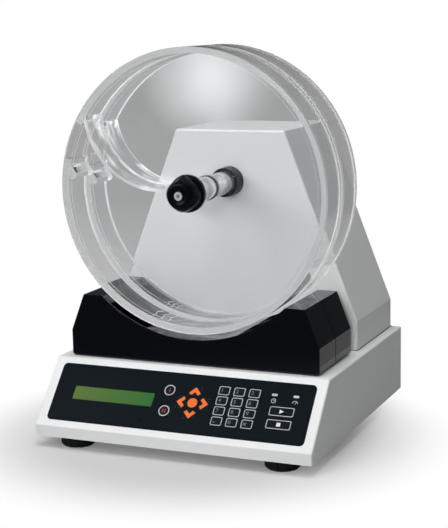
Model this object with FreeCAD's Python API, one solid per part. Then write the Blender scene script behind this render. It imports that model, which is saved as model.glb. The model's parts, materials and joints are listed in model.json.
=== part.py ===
import FreeCAD, Part
import math
import os

# Friability tester with two clear drums on one driven spindle.
# Millimetres. Origin on the bench under the middle of the machine, +Z up, front towards -Y.

# Base housing
base_width = 313.0
base_depth = 314.0
base_height = 74.0
base_wall = 3.0
front_lip_height = 12.1
slope_run = 55.1
base_edge_radius = 2.0
boss_diameter = 8.0
boss_inset = 9.0
plate_thickness = 2.0
plate_gap = 0.3
case_screw_diameter = 3.0
case_screw_length = 10.0
case_screw_head = 5.5
case_screw_head_height = 1.8
cable_hole_diameter = 32.0
cable_hole_x = 72.0
cable_hole_setback = 60.0

# Feet
foot_height = 12.0
foot_diameter = 37.0
foot_inset_side = 39.5
foot_inset_front = 23.0
foot_inset_rear = 30.0
foot_chamfer = 2.5
foot_rib_count = 15
foot_rib_height = 1.0
foot_land_share = 0.68
foot_groove_share = 0.14
foot_well_diameter = 10.0
foot_seat = 5.0
foot_screw_diameter = 4.0
foot_screw_head = 7.0
foot_screw_head_height = 2.5
foot_screw_grip = 3.0

# Tower
tower_setback = 181.4
tower_depth = 130.0
tower_height = 239.5
tower_break_height = 32.5
tower_foot_width = 289.3
tower_top_width = 129.0
tower_wall = 3.0
tower_edge_radius = 2.5
flange_hole_gap = 0.6

# Drums
axis_above_deck = 183.0
drum_setback = 66.0
drum_bore_diameter = 287.0
drum_wall = 6.5
drum_inner_depth = 38.0
disc_thickness = 5.0
locating_rim_width = 3.0
locating_rim_depth = 1.5
rim_gap = 0.2
drum_spacing = 3.0
spacer_diameter = 26.8
rear_drum_turn = 4.7
hub_diameter = 25.0
hub_gap = 0.1

# Curved baffle and the discharge opening behind its root
baffle_radius = 83.0
baffle_thickness = 3.6
baffle_arc_direction = 113.9
baffle_hub_bite = 1.7
discharge_offset = 2.0
discharge_span = 16.0
lip_radius = 4.6
lip_inset = 8.6
lip_span = 6.4

# Spindle and its bearings
shaft_diameter = 12.0
running_gap = 0.05
seat_gap = 0.2
shaft_nose = 11.0
key_width = 4.0
key_height = 1.5
keyway_gap = 0.15
clip_groove_depth = 0.8
clip_groove_width = 1.1
clip_groove_setback = 8.0
flange_diameter = 32.0
flange_collar_diameter = 24.0
bearing_diameter = 28.0
bearing_width = 8.0
bearing_spacing = 40.0
frame_setback = 9.0
frame_width = 84.0
frame_plate = 8.0
frame_crown = 24.0
frame_foot_thickness = 6.0
frame_web_inset = 10.0
frame_web_thickness = 6.0
frame_web_front = 60.0
frame_web_rear = 90.0
frame_window_diameter = 34.0
frame_window_height = 45.0
encoder_diameter = 46.0
encoder_thickness = 1.5
encoder_setback = 9.0
encoder_hub_wall = 4.0
encoder_slots = 8
encoder_slot_length = 4.0
encoder_slot_width = 2.4
encoder_slot_margin = 2.0
sensor_gap = 1.4
sensor_width = 12.0
sensor_arm = 4.0
sensor_reach = 7.0
sensor_rise = 8.0

# Worm gearbox and motor
gearbox_width = 56.0
gearbox_depth = 40.0
gearbox_height = 74.0
gearbox_cap_step = 8.0
gearbox_cap_height = 2.0
motor_diameter = 38.0
motor_length = 68.0
motor_flange_width = 48.0
motor_flange_thickness = 5.0
motor_cap_diameter = 16.0
motor_cap_length = 6.0

# Knob
knob_length = 26.5
knob_flange_diameter = 39.5
knob_flange_length = 7.0
knob_grip_diameter = 37.6
knob_grip_length = 7.0
knob_grip_taper = 0.5
knob_shoulder_diameter = 33.4
knob_shoulder_length = 5.6
knob_nose_diameter = 25.6
knob_edge = 1.5
knob_lobes = 6
knob_screw_diameter = 9.0
knob_screw_shank = 5.0
knob_screw_projection = 0.8
knob_screw_seat = 2.2
scallop_radius = 9.0
scallop_depth = 1.7

# Collecting trays
tray_setback = 62.8
tray_depth = 51.0
tray_split = 0.4
tray_width = 285.6
tray_top_width = 254.6
tray_end_height = 28.9
tray_top_height = 68.6
tray_saddle_gap = 5.5
tray_wall = 2.5
tray_rest_gap = 0.3
tray_corner_radius = 4.0
tray_edge_chamfer = 0.7
catch_near = 52.0
catch_far = 98.0

# Keypad overlay and keys
overlay_width = 291.0
overlay_height = 67.8
overlay_low_margin = 7.5
overlay_corner_radius = 5.0
overlay_thickness = 1.2
overlay_recess = 0.8
key_gap = 0.2
key_thickness = 0.8
key_corner = 1.0
key_float = 0.5
digit_key_width = 12.5
digit_key_height = 10.0
digit_pitch_across = 16.8
digit_pitch_up = 11.6
digit_pad_x = 64.1
digit_pad_v = 0.8
function_key_diameter = 12.4
function_key_x = -13.3
function_key_pitch = 23.9
arrow_pad_x = 15.7
arrow_pad_v = 1.0
arrow_key_width = 13.6
arrow_key_height = 9.6
arrow_reach_up = 13.4
arrow_reach_side = 13.2
ok_key_diameter = 10.6
run_key_width = 26.6
run_key_height = 10.4
run_key_x = 114.3
run_key_pitch = 14.5
lcd_width = 94.0
lcd_height = 15.7
lcd_x = -76.0
lcd_module_depth = 9.0
lcd_bezel = 4.0
lcd_corner = 1.0
lcd_glass_drop = 0.1
lamp_width = 6.0
lamp_height = 2.6
lamp_corner = 0.6
lamp_rise = 0.5
lamp_tail = 4.0
lamp_pitch = 23.3
lamp_v = 18.9
board_standoff = 12.0
board_thickness = 1.6
board_post_diameter = 7.0
board_post_inset_side = 22.0
board_post_inset_end = 8.0
board_margin_side = 15.0
board_margin_end = 3.0
chip_depth = 12.0
chip_height = 2.0
plug_width = 24.0
plug_depth = 8.0
plug_height = 7.0

# Connections on the rear wall
port_projection = 5.5
port_inset = 86.5
port_body_width = 18.0
port_body_height = 10.0
port_body_depth = 10.0
port_flange_width = 31.0
port_flange_height = 12.6
port_flange_thickness = 1.2
port_shell_width = 16.8
port_shell_narrow = 14.0
port_shell_height = 8.4
jack_diameter = 4.8
jack_height = 4.5
jack_pitch = 25.0
inlet_inset = 56.5
inlet_corner_radius = 4.0
inlet_body_width = 28.0
inlet_body_height = 21.0
inlet_body_depth = 20.0
inlet_screw_pitch = 40.0
inlet_screw_hole = 3.4
inlet_flange_width = 50.0
inlet_flange_height = 27.5
inlet_flange_thickness = 2.5
socket_width = 24.0
socket_height = 16.5
socket_depth = 16.0
socket_corner = 4.0
pin_width = 2.0
pin_height = 4.0
pin_length = 9.0
pin_pitch = 14.0
pin_drop = 1.5
earth_pin_rise = 2.5
switch_inset = 104.5
switch_flange_width = 15.0
switch_flange_height = 21.0
switch_flange_thickness = 2.0
switch_body_width = 12.4
switch_body_height = 18.8
switch_body_depth = 20.0
switch_well_depth = 8.5
rocker_pivot_depth = 2.0
rocker_heel_depth = 3.5
rocker_heel_width = 8.0
rocker_edge_rise = 1.5
rocker_end_rise = 5.0
rocker_middle_rise = 4.0
rocker_width = 8.4
rocker_length = 14.8
rocker_tilt = 8.0
rocker_side_gap = 0.5
rocker_end_gap = 0.9
rear_line_height = 34.0
vent_slots = 9
vent_pitch = 7.0
vent_width = 2.6
vent_height = 26.0

# Power supply in the base
supply_width = 64.0
supply_length = 110.0
supply_setback = 50.0
supply_sheet = 2.0
supply_side_height = 34.0
supply_coil_width = 28.0
supply_coil_length = 34.0
supply_coil_place = 20.0
supply_sink_width = 50.0
supply_sink_height = 24.0
supply_sink_place = 62.0
supply_can_diameter = 18.0
supply_can_height = 26.0
supply_can_place = 82.0
supply_terminal_width = 52.0
supply_terminal_depth = 12.0
supply_terminal_height = 12.0

# Places worked out from the sizes above
overall_depth = base_depth + port_projection
front_y = -overall_depth / 2
rear_y = front_y + base_depth
base_z = foot_height
deck_z = base_z + base_height
axis_z = deck_z + axis_above_deck
slope_angle = math.degrees(math.atan2(base_height - front_lip_height, slope_run))
bore_radius = drum_bore_diameter / 2
drum_radius = bore_radius + drum_wall
hub_radius = hub_diameter / 2
shaft_radius = shaft_diameter / 2
tower_front = front_y + tower_setback
tower_rear = tower_front + tower_depth
front_drum_y = front_y + drum_setback
drum_depth = disc_thickness * 2 + drum_inner_depth
rear_drum_y = front_drum_y + drum_depth + drum_spacing
drums_end_y = rear_drum_y + drum_depth
overlay_mid_v = overlay_low_margin + overlay_height / 2
rear_line_z = base_z + rear_line_height
inlet_x = -base_width / 2 + inlet_inset
switch_x = -base_width / 2 + switch_inset
port_x = base_width / 2 - port_inset


def vector(x, y, z):
    return FreeCAD.Vector(x, y, z)


def polar(radius, angle):
    return (radius * math.cos(math.radians(angle)), radius * math.sin(math.radians(angle)))


def box(x0, x1, y0, y1, z0, z1):
    return Part.makeBox(x1 - x0, y1 - y0, z1 - z0, vector(x0, y0, z0))


def rod_y(radius, y0, y1, x=0.0, z=None):
    height = axis_z if z is None else z
    return Part.makeCylinder(radius, y1 - y0, vector(x, y0, height), vector(0, 1, 0))


def rod_z(radius, z0, z1, x, y):
    return Part.makeCylinder(radius, z1 - z0, vector(x, y, z0), vector(0, 0, 1))


def hexagon_z(across, z0, z1, x, y):
    corners = []
    for angle in range(30, 391, 60):
        dx, dy = polar(across / math.sqrt(3), angle)
        corners.append(vector(x + dx, y + dy, z0))
    return Part.Face(Part.makePolygon(corners)).extrude(vector(0, 0, z1 - z0))


def tube_y(outer, inner, y0, y1):
    return rod_y(outer, y0, y1).cut(rod_y(inner, y0 - 1, y1 + 1))


def prism_x(points, x0, x1):
    corners = [vector(x0, y, z) for y, z in points]
    face = Part.Face(Part.makePolygon(corners + corners[:1]))
    return face.extrude(vector(x1 - x0, 0, 0))


def prism_y(points, y0, y1):
    corners = [vector(x, y0, z) for x, z in points]
    face = Part.Face(Part.makePolygon(corners + corners[:1]))
    return face.extrude(vector(0, y1 - y0, 0))


def upright_edges(shape):
    return [edge for edge in shape.Edges if abs(edge.tangentAt(edge.FirstParameter).z) > 0.9]


def block_y(x, z, width, height, y0, y1):
    """Box centred on x and z, as seen from the rear, from one depth to another."""
    return box(x - width / 2, x + width / 2, y0, y1, z - height / 2, z + height / 2)


def fuse_all(shapes):
    whole = shapes[0]
    for shape in shapes[1:]:
        whole = whole.fuse(shape)
    return whole.removeSplitter()


def cut_all(shape, tools):
    return shape.cut(fuse_all(tools) if len(tools) > 1 else tools[0])


def inset(points, distance):
    """Move every side of a convex outline inwards by one distance."""
    area = sum(a[0] * b[1] - b[0] * a[1] for a, b in zip(points, points[1:] + points[:1]))
    turn = 1.0 if area > 0 else -1.0
    lines = []
    for a, b in zip(points, points[1:] + points[:1]):
        length = math.hypot(b[0] - a[0], b[1] - a[1])
        along = ((b[0] - a[0]) / length, (b[1] - a[1]) / length)
        inward = (-along[1] * turn, along[0] * turn)
        lines.append(((a[0] + inward[0] * distance, a[1] + inward[1] * distance), along))
    moved = []
    for (p, u), (q, w) in zip(lines[-1:] + lines[:-1], lines):
        cross = u[0] * w[1] - u[1] * w[0]
        t = ((q[0] - p[0]) * w[1] - (q[1] - p[1]) * w[0]) / cross
        moved.append((p[0] + u[0] * t, p[1] + u[1] * t))
    return moved


def on_slope(shape):
    """Carry a shape from panel coordinates (across, up the slope, outwards) to the machine."""
    placed = shape.copy()
    placed.rotate(vector(0, 0, 0), vector(1, 0, 0), slope_angle)
    placed.translate(vector(0, front_y, base_z + front_lip_height))
    return placed


def panel_plate(width, height, corner, low, high, x=0.0, v=None, rounded=False):
    """Plate on the panel, centred on x and v, from one level to another, with cut or rounded corners."""
    middle = overlay_mid_v if v is None else v
    plate = box(x - width / 2, x + width / 2, middle - height / 2, middle + height / 2, low, high)
    corners = upright_edges(plate)
    return plate.makeFillet(corner, corners) if rounded else plate.makeChamfer(corner, corners)


def panel_disc(radius, low, high, x, v):
    return Part.makeCylinder(radius, high - low, vector(x, v, low), vector(0, 0, 1))


def write(name, shape):
    shape.exportStep(os.path.join("parts", name + ".step"))


# Keys: name, outline kind, width or diameter, height, x, v measured from the overlay's middle
def key_table():
    keys = []
    for place, name in enumerate(["1", "2", "3", "4", "5", "6", "7", "8", "9", "point", "0", "clear"]):
        row, column = divmod(place, 3)
        x = digit_pad_x + (column - 1) * digit_pitch_across
        v = digit_pad_v + (1.5 - row) * digit_pitch_up
        keys.append(("key_" + name, "plate", digit_key_width, digit_key_height, x, v))
    half_pitch = function_key_pitch / 2
    keys.append(("key_f1", "disc", function_key_diameter, 0, function_key_x, arrow_pad_v + half_pitch))
    keys.append(("key_f2", "disc", function_key_diameter, 0, function_key_x, arrow_pad_v - half_pitch))
    for name, across, up in [("up", 0, 1), ("down", 0, -1), ("left", -1, 0), ("right", 1, 0)]:
        width = arrow_key_width if up else arrow_key_height
        height = arrow_key_height if up else arrow_key_width
        x = arrow_pad_x + across * arrow_reach_side
        v = arrow_pad_v + up * arrow_reach_up
        keys.append(("key_" + name, "plate", width, height, x, v))
    keys.append(("key_ok", "disc", ok_key_diameter, 0, arrow_pad_x, arrow_pad_v))
    keys.append(("key_start", "plate", run_key_width, run_key_height, run_key_x, arrow_pad_v))
    keys.append(("key_stop", "plate", run_key_width, run_key_height, run_key_x, arrow_pad_v - run_key_pitch))
    return keys


def key_outline(kind, width, height, x, v, grow, low, high):
    if kind == "disc":
        return panel_disc(width / 2 + grow, low, high, x, overlay_mid_v + v)
    corner = key_corner + grow * (2 - math.sqrt(2))
    return panel_plate(width + 2 * grow, height + 2 * grow, corner, low, high, x, overlay_mid_v + v)


# Base
def base_outline(drop):
    return [
        (front_y, base_z - drop),
        (front_y, base_z + front_lip_height),
        (front_y + slope_run, deck_z),
        (rear_y, deck_z),
        (rear_y, base_z - drop),
    ]


def boss_places():
    x = base_width / 2 - boss_inset
    ys = [front_y + boss_inset, rear_y - boss_inset]
    return [(side * x, y) for side in (-1, 1) for y in ys]


def foot_places():
    x = base_width / 2 - foot_inset_side
    ys = [front_y + foot_inset_front, rear_y - foot_inset_rear]
    return [(side * x, y) for side in (-1, 1) for y in ys]


def board_places():
    reach_x = overlay_width / 2 - board_post_inset_side
    reach_v = overlay_height / 2 - board_post_inset_end
    return [(x, overlay_mid_v + v) for x in (-reach_x, reach_x) for v in (-reach_v, reach_v)]


def lamp_places():
    v = overlay_mid_v + lamp_v
    return [(run_key_x - lamp_pitch / 2, v), (run_key_x + lamp_pitch / 2, v)]


def rear_opening(x, width, height):
    return block_y(x, rear_line_z, width, height, rear_y - base_wall - 1, rear_y + 1)


def base_housing():
    half = base_width / 2
    outer = prism_x(base_outline(0), -half, half)
    rounded = [e for e in outer.Edges if max(p.Z for p in e.Vertexes) > base_z + 0.1]
    outer = outer.makeFillet(base_edge_radius, rounded)
    hollow = inset(base_outline(base_wall + 1), base_wall)
    shell = outer.cut(prism_x(hollow, -half + base_wall, half - base_wall))
    room = outer.common(box(-half, half, front_y, rear_y, base_z + plate_thickness, deck_z - 1))
    bosses = [rod_z(boss_diameter / 2, base_z + plate_thickness, deck_z, x, y) for x, y in boss_places()]
    posts = [on_slope(panel_disc(board_post_diameter / 2, -board_standoff, -base_wall + 0.5, x, v))
             for x, v in board_places()]
    shell = fuse_all([shell] + [boss.common(room) for boss in bosses] + posts)
    recess = panel_plate(overlay_width + 2 * key_gap, overlay_height + 2 * key_gap,
                         overlay_corner_radius, -overlay_recess, 20, rounded=True)
    display = panel_plate(lcd_width + 2 * lcd_bezel, lcd_height + 2 * lcd_bezel, lcd_corner,
                          -base_wall - 5, 1, lcd_x)
    cuts = [on_slope(recess), on_slope(display)]
    for x, v in lamp_places():
        cuts.append(on_slope(panel_plate(lamp_width, lamp_height, lamp_corner, -base_wall - 5, 1, x, v)))
    cuts.append(rod_z(cable_hole_diameter / 2, deck_z - base_wall - 1, deck_z + 1,
                      cable_hole_x, tower_front + cable_hole_setback))
    for x, y in boss_places():
        cuts.append(rod_z(case_screw_diameter / 2, base_z, base_z + case_screw_length + 2, x, y))
    cuts.append(rear_opening(inlet_x, inlet_body_width, inlet_body_height))
    cuts.append(rear_opening(switch_x, switch_body_width, switch_body_height))
    cuts.append(rear_opening(port_x, port_body_width, port_body_height))
    for slot in range(vent_slots):
        x = (slot - (vent_slots - 1) / 2) * vent_pitch
        cuts.append(rear_opening(x, vent_width, vent_height))
    return cut_all(shell, cuts)


def bottom_plate():
    edge = base_wall + plate_gap
    plate = box(-base_width / 2 + edge, base_width / 2 - edge, front_y + edge, rear_y - edge,
                base_z, base_z + plate_thickness)
    holes = [rod_z(case_screw_diameter / 2, base_z - 1, base_z + plate_thickness + 1, x, y)
             for x, y in boss_places()]
    holes += [rod_z(foot_screw_diameter / 2, base_z - 1, base_z + plate_thickness + 1, x, y)
              for x, y in foot_places()]
    return cut_all(plate, holes)


def case_screws():
    screws = []
    for x, y in boss_places():
        shank = rod_z(case_screw_diameter / 2, base_z, base_z + case_screw_length, x, y)
        head = hexagon_z(case_screw_head, base_z - case_screw_head_height, base_z, x, y)
        screws.append(shank.fuse(head))
    return Part.makeCompound(screws)


def flat_loft(sections):
    """Solid through sections that match corner by corner, with a flat face for each pair of edges."""
    faces = [Part.Face(Part.makePolygon(section + section[:1])) for section in (sections[0], sections[-1])]
    for lower, upper in zip(sections, sections[1:]):
        for here in range(len(lower)):
            after = (here + 1) % len(lower)
            ring = [lower[here], lower[after], upper[after], upper[here], lower[here]]
            faces.append(Part.Face(Part.makePolygon(ring)))
    return Part.makeSolid(Part.makeShell(faces))


def foot_section(x, y, z, scale):
    """Corners of a ribbed foot: wide lands with narrow grooves between them."""
    outer = scale * foot_diameter / 2
    core = outer - scale * foot_rib_height
    pitch = 360.0 / foot_rib_count
    land = pitch * foot_land_share / 2
    flank = pitch * (1 - foot_groove_share) / 2
    corners = []
    for step in range(foot_rib_count):
        middle = pitch * step
        for radius, angle in [(core, middle - flank), (outer, middle - land),
                              (outer, middle + land), (core, middle + flank)]:
            dx, dy = polar(radius, angle)
            corners.append(vector(x + dx, y + dy, z))
    return corners


def one_foot(x, y):
    """Ribbed round foot, narrower at its lower edge, with a well for its screw."""
    narrow = 1 - 2 * foot_chamfer / foot_diameter
    sections = [foot_section(x, y, 0, narrow), foot_section(x, y, foot_chamfer, 1),
                foot_section(x, y, foot_height, 1)]
    body = flat_loft(sections)
    well = rod_z(foot_well_diameter / 2, -1, foot_height - foot_seat, x, y)
    return body.cut(well).cut(rod_z(foot_screw_diameter / 2, 0, foot_height + 1, x, y))


def feet():
    return Part.makeCompound([one_foot(x, y) for x, y in foot_places()])


def foot_screws():
    screws = []
    seat = foot_height - foot_seat
    for x, y in foot_places():
        shank = rod_z(foot_screw_diameter / 2, seat, base_z + plate_thickness + foot_screw_grip, x, y)
        head = hexagon_z(foot_screw_head, seat - foot_screw_head_height, seat, x, y)
        screws.append(shank.fuse(head))
    return Part.makeCompound(screws)


# Keypad
def keypad_overlay():
    low = -overlay_recess
    high = low + overlay_thickness
    sheet = panel_plate(overlay_width, overlay_height, overlay_corner_radius, low, high, rounded=True)
    windows = []
    for name, kind, width, height, x, v in key_table():
        windows.append(key_outline(kind, width, height, x, v, key_gap, low - 1, high + 1))
    windows.append(panel_plate(lcd_width, lcd_height, lcd_corner, low - 1, high + 1, lcd_x))
    for x, v in lamp_places():
        windows.append(panel_plate(lamp_width, lamp_height, lamp_corner, low - 1, high + 1, x, v))
    return on_slope(cut_all(sheet, windows))


def lcd_module():
    back = panel_plate(lcd_width + 2 * lcd_bezel, lcd_height + 2 * lcd_bezel, lcd_corner,
                       -overlay_recess - lcd_module_depth, -overlay_recess, lcd_x)
    glass = panel_plate(lcd_width, lcd_height, lcd_corner, -overlay_recess - 0.5, -lcd_glass_drop, lcd_x)
    return on_slope(back.fuse(glass).removeSplitter())


def indicator_lamps():
    lamps = []
    for x, v in lamp_places():
        lens = panel_plate(lamp_width, lamp_height, lamp_corner, -base_wall - lamp_tail, lamp_rise, x, v)
        lamps.append(on_slope(lens))
    return Part.makeCompound(lamps)


def control_board():
    low = -board_standoff - board_thickness
    board = panel_plate(overlay_width - 2 * board_margin_side, overlay_height - 2 * board_margin_end,
                        2.0, low, -board_standoff)
    v0 = overlay_mid_v - chip_depth / 2
    chips = []
    for share, width in [(0.28, 14.0), (0.52, 20.0), (0.72, 10.0)]:
        x = share * overlay_width / 2
        chips.append(box(x - width / 2, x + width / 2, v0, v0 + chip_depth, low - chip_height, low))
    x = function_key_x
    plug = box(x - plug_width / 2, x + plug_width / 2, overlay_mid_v - plug_depth / 2,
               overlay_mid_v + plug_depth / 2, low - plug_height, low)
    return on_slope(fuse_all([board, plug] + chips))


def power_supply():
    low = base_z + plate_thickness
    floor = low + supply_sheet
    x = inlet_x + supply_sheet * 2
    x0 = x - supply_width / 2
    y1 = rear_y - supply_setback
    y0 = y1 - supply_length
    tray = box(x0, x0 + supply_width, y0, y1, low, floor)
    side = box(x0, x0 + supply_sheet, y0, y1, low, low + supply_side_height)
    coil_y = y0 + supply_coil_place
    coil = box(x - supply_coil_width / 2, x + supply_coil_width / 2, coil_y, coil_y + supply_coil_length,
               floor, floor + supply_coil_width)
    sink_y = y0 + supply_sink_place
    sink = box(x - supply_sink_width / 2, x + supply_sink_width / 2, sink_y, sink_y + supply_sheet,
               floor, floor + supply_sink_height)
    can = rod_z(supply_can_diameter / 2, floor, floor + supply_can_height, x, y0 + supply_can_place)
    terminals = box(x - supply_terminal_width / 2, x + supply_terminal_width / 2,
                    y1 - supply_terminal_depth, y1, floor, floor + supply_terminal_height)
    return fuse_all([tray, side, coil, sink, can, terminals])


# Tower
def tower_outline(drop):
    half_foot = tower_foot_width / 2
    half_top = tower_top_width / 2
    return [
        (-half_foot, deck_z - drop),
        (half_foot, deck_z - drop),
        (half_foot, deck_z + tower_break_height),
        (half_top, deck_z + tower_height),
        (-half_top, deck_z + tower_height),
        (-half_foot, deck_z + tower_break_height),
    ]


def tower_cover():
    outer = prism_y(tower_outline(0), tower_front, tower_rear)
    rounded = [e for e in outer.Edges if max(p.Z for p in e.Vertexes) > deck_z + 0.1]
    outer = outer.makeFillet(tower_edge_radius, rounded)
    hollow = inset(tower_outline(tower_wall + 1), tower_wall)
    shell = outer.cut(prism_y(hollow, tower_front + tower_wall, tower_rear - tower_wall))
    hole = rod_y(flange_diameter / 2 + flange_hole_gap, tower_front - 1, tower_front + tower_wall + 1)
    return shell.cut(hole)


def frame_plates():
    first = tower_front + frame_setback
    return [first, first + bearing_spacing]


def bearing_frame():
    front_plate, rear_plate = frame_plates()
    half = frame_width / 2
    pieces = []
    for y in (front_plate, rear_plate):
        upright = prism_y([(-half, deck_z), (half, deck_z), (frame_crown, axis_z), (-frame_crown, axis_z)],
                          y, y + frame_plate)
        pieces.append(upright.fuse(rod_y(frame_crown, y, y + frame_plate)))
    pieces.append(box(-half, half, front_plate, rear_plate + gearbox_depth + frame_plate,
                      deck_z, deck_z + frame_foot_thickness))
    for side in (-1, 1):
        x = side * (half - frame_web_inset)
        web = prism_x([(front_plate, deck_z), (rear_plate + frame_plate, deck_z),
                       (rear_plate + frame_plate, deck_z + frame_web_rear),
                       (front_plate, deck_z + frame_web_front)],
                      x - frame_web_thickness / 2, x + frame_web_thickness / 2)
        pieces.append(web)
    bores = [rod_y(bearing_diameter / 2, y - 1, y + frame_plate + 1) for y in (front_plate, rear_plate)]
    window = rod_y(frame_window_diameter / 2, front_plate - 1, rear_plate + frame_plate + 1,
                   0, deck_z + frame_window_height)
    return cut_all(fuse_all(pieces), bores + [window])


def spindle_bearings():
    rings = [tube_y(bearing_diameter / 2, shaft_radius + running_gap, y, y + bearing_width)
             for y in frame_plates()]
    return Part.makeCompound(rings)


def spindle_end():
    return frame_plates()[1] + frame_plate + gearbox_depth - 6


def spindle_shaft():
    nose_y = front_drum_y - shaft_nose
    shaft = rod_y(shaft_radius, nose_y + 1, spindle_end())
    nose = Part.makeCone(shaft_radius - 1, shaft_radius, 1, vector(0, nose_y, axis_z), vector(0, 1, 0))
    groove_y = drums_end_y - clip_groove_setback
    groove = tube_y(shaft_radius + 1, shaft_radius - clip_groove_depth,
                    groove_y, groove_y + clip_groove_width)
    slot = box(-key_width / 2, key_width / 2, front_drum_y + disc_thickness, drums_end_y - disc_thickness,
               axis_z + shaft_radius - key_height, axis_z + shaft_radius + 1)
    return shaft.fuse(nose).cut(groove).cut(slot)


def drive_key():
    return box(-key_width / 2, key_width / 2, front_drum_y + disc_thickness, drums_end_y - disc_thickness,
               axis_z + shaft_radius - key_height, axis_z + shaft_radius + key_height)


def drive_flange():
    front = drums_end_y + seat_gap
    plate = rod_y(flange_diameter / 2, front, tower_front + tower_wall + 1)
    collar = rod_y(flange_collar_diameter / 2, tower_front, frame_plates()[0] - seat_gap)
    return plate.fuse(collar).removeSplitter().cut(rod_y(shaft_radius, front - 1, frame_plates()[0]))


def encoder_place():
    return frame_plates()[0] + bearing_width + encoder_setback


def encoder_disc():
    y = encoder_place()
    rear = y + encoder_thickness
    disc = rod_y(encoder_diameter / 2, y, rear)
    hub = rod_y(shaft_radius + encoder_hub_wall, y - encoder_hub_wall, rear)
    outer = encoder_diameter / 2 - encoder_slot_margin
    cuts = [rod_y(shaft_radius, y - encoder_hub_wall - 1, rear + 1)]
    for step in range(encoder_slots):
        slot = box(outer - encoder_slot_length, outer, y - 1, rear + 1,
                   axis_z - encoder_slot_width / 2, axis_z + encoder_slot_width / 2)
        slot.rotate(vector(0, 0, axis_z), vector(0, 1, 0), 360.0 * step / encoder_slots)
        cuts.append(slot)
    return cut_all(disc.fuse(hub), cuts)


def revolution_sensor():
    """Fork that the encoder's rim passes through, on a bracket from the front bearing plate."""
    half = sensor_width / 2
    rim = axis_z + encoder_diameter / 2
    top = rim + sensor_rise
    front_gap = encoder_place() - sensor_gap
    rear_gap = encoder_place() + encoder_thickness + sensor_gap
    bridge = box(-half, half, front_gap - sensor_arm, rear_gap + sensor_arm, top - sensor_arm, top)
    front_arm = box(-half, half, front_gap - sensor_arm, front_gap, rim - sensor_reach, top)
    rear_arm = box(-half, half, rear_gap, rear_gap + sensor_arm, rim - sensor_reach, top)
    bracket = box(-half, half, frame_plates()[0] + frame_plate, front_gap - sensor_arm,
                  frame_crown + axis_z - sensor_arm, top)
    return fuse_all([bracket, bridge, front_arm, rear_arm])


def worm_gearbox():
    y0 = frame_plates()[1] + frame_plate
    y1 = y0 + gearbox_depth
    half = gearbox_width / 2
    case = box(-half, half, y0, y1, axis_z - gearbox_height + half, axis_z)
    cap = rod_y(half - gearbox_cap_step, y1, y1 + gearbox_cap_height)
    case = fuse_all([case, rod_y(half, y0, y1), cap])
    return case.cut(rod_y(shaft_radius + running_gap, y0 - 1, spindle_end() + 1))


def drive_motor():
    y = frame_plates()[1] + frame_plate + gearbox_depth / 2
    top = axis_z - gearbox_height + gearbox_width / 2
    seat = top - motor_flange_thickness
    low = top - motor_length
    flange = box(-motor_flange_width / 2, motor_flange_width / 2, y - gearbox_depth / 2,
                 y + gearbox_depth / 2, seat, top)
    can = rod_z(motor_diameter / 2, low, seat, 0, y)
    cap = rod_z(motor_cap_diameter / 2, low - motor_cap_length, low, 0, y)
    return fuse_all([flange, can, cap])


# Drums
def turned(shape, turn):
    placed = shape.copy()
    placed.rotate(vector(0, 0, axis_z), vector(0, -1, 0), turn)
    return placed


def baffle_centre():
    return polar(baffle_radius + hub_radius - baffle_hub_bite, baffle_arc_direction)


def discharge_start():
    """Direction of the opening's upper edge, just past the place where the baffle meets the wall."""
    reach = math.hypot(*baffle_centre())
    outer = baffle_radius + baffle_thickness
    share = (bore_radius ** 2 - outer ** 2 + reach ** 2) / (2 * bore_radius * reach)
    return baffle_arc_direction + math.degrees(math.acos(share)) + discharge_offset


def teardrop(tip, centre, radius, y0, y1):
    """Drop-shaped bar: a round bead that tapers to its tip."""
    reach = math.hypot(tip[0] - centre[0], tip[1] - centre[1])
    heading = math.atan2(tip[1] - centre[1], tip[0] - centre[0])
    spread = math.acos(radius / reach)
    sides = []
    for angle in (heading + spread, heading + math.pi, heading - spread):
        sides.append(vector(centre[0] + radius * math.cos(angle), y0,
                            axis_z + centre[1] + radius * math.sin(angle)))
    point = vector(tip[0], y0, axis_z + tip[1])
    edges = [Part.makeLine(point, sides[0]), Part.Arc(*sides).toShape(), Part.makeLine(sides[2], point)]
    return Part.Face(Part.Wire(edges)).extrude(vector(0, y1 - y0, 0))


def drum_wall_ring(drum_y, turn):
    y0 = drum_y + disc_thickness + seat_gap
    y1 = drum_y + disc_thickness + drum_inner_depth
    ring = tube_y(drum_radius, bore_radius, y0, y1)
    start = discharge_start()
    end = start + discharge_span
    wedge = [(0, axis_z)]
    for angle in (start, (start + end) / 2, end):
        x, z = polar(drum_radius * 1.3, angle)
        wedge.append((x, axis_z + z))
    ring = ring.cut(prism_y(wedge, y0 - 1, y1 + 1))
    tip = polar(drum_radius - 1.5, end + 0.15)
    bead_y = y0 + locating_rim_depth
    bead = teardrop(tip, polar(drum_radius - lip_inset - 1.5, end + lip_span), lip_radius, bead_y, y1)
    bead = bead.common(rod_y(drum_radius - 0.5, y0, y1))
    return turned(ring.fuse(bead).removeSplitter(), turn)


def drum_back(drum_y, turn):
    y0 = drum_y + disc_thickness + drum_inner_depth
    disc = rod_y(drum_radius, y0, y0 + disc_thickness)
    return turned(disc.cut(rod_y(hub_radius, y0 - 1, y0 + disc_thickness + 1)), turn)


def drum_cover(drum_y):
    disc = rod_y(drum_radius, drum_y, drum_y + disc_thickness)
    outer = bore_radius - rim_gap
    rim = tube_y(outer, outer - locating_rim_width, drum_y + disc_thickness,
                 drum_y + disc_thickness + locating_rim_depth)
    cover = disc.fuse(rim).removeSplitter()
    return cover.cut(rod_y(hub_radius + hub_gap, drum_y - 1, drum_y + disc_thickness + 1))


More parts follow.
